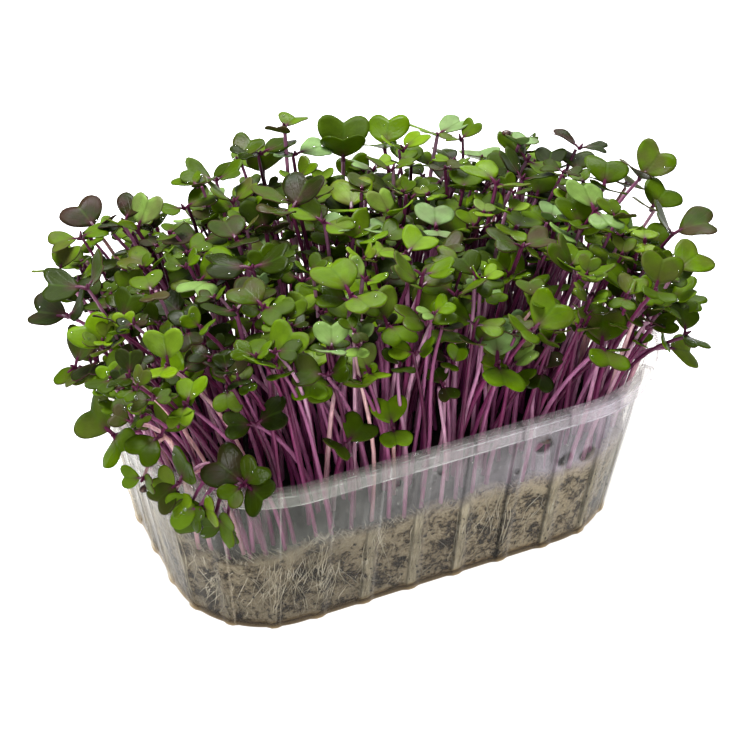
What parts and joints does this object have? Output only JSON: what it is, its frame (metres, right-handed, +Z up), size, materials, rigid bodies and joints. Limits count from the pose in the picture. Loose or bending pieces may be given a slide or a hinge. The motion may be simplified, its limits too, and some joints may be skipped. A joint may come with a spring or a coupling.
{
  "type": "microgreens tray",
  "caption": "Clear fluted punnet of growing medium with a dense stand of red-stemmed, heart-leaved seedlings.",
  "frame": {"origin": "middle of the punnet's footprint, on the surface that it stands on", "axes": "+X along the punnet's long side, +Z up, front at -Y"},
  "size_m": [0.2264, 0.1525, 0.1292],
  "materials": {
    "clear_plastic": "thermoformed, clear, misted inside",
    "growing_medium": "moist peat and coir crumbs held by white roots",
    "seedlings": "waxy green seed leaves on smooth purple stems"
  },
  "bodies": {
    "root": {"punnet": "clear_plastic", "growing_medium": "growing_medium", "seedlings_row1_1": "seedlings", "seedlings_row1_2": "seedlings", "seedlings_row1_3": "seedlings", "seedlings_row1_4": "seedlings", "seedlings_row1_5": "seedlings", "seedlings_row1_6": "seedlings", "seedlings_row2_1": "seedlings", "seedlings_row2_2": "seedlings", "seedlings_row2_3": "seedlings", "seedlings_row2_4": "seedlings", "seedlings_row2_5": "seedlings", "seedlings_row2_6": "seedlings", "seedlings_row2_7": "seedlings", "seedlings_row3_1": "seedlings", "seedlings_row3_2": "seedlings", "seedlings_row3_3": "seedlings", "seedlings_row3_4": "seedlings", "seedlings_row3_5": "seedlings", "seedlings_row3_6": "seedlings", "seedlings_row3_7": "seedlings", "seedlings_row3_8": "seedlings", "seedlings_row4_1": "seedlings", "seedlings_row4_2": "seedlings", "seedlings_row4_3": "seedlings", "seedlings_row4_4": "seedlings", "seedlings_row4_5": "seedlings", "seedlings_row4_6": "seedlings", "seedlings_row4_7": "seedlings", "seedlings_row4_8": "seedlings", "seedlings_row5_1": "seedlings", "seedlings_row5_2": "seedlings", "seedlings_row5_3": "seedlings", "seedlings_row5_4": "seedlings", "seedlings_row5_5": "seedlings", "seedlings_row5_6": "seedlings", "seedlings_row5_7": "seedlings", "seedlings_row6_1": "seedlings", "seedlings_row6_2": "seedlings", "seedlings_row6_3": "seedlings", "seedlings_row6_4": "seedlings", "seedlings_row6_5": "seedlings", "seedlings_row6_6": "seedlings"}
  },
  "joints": []
}
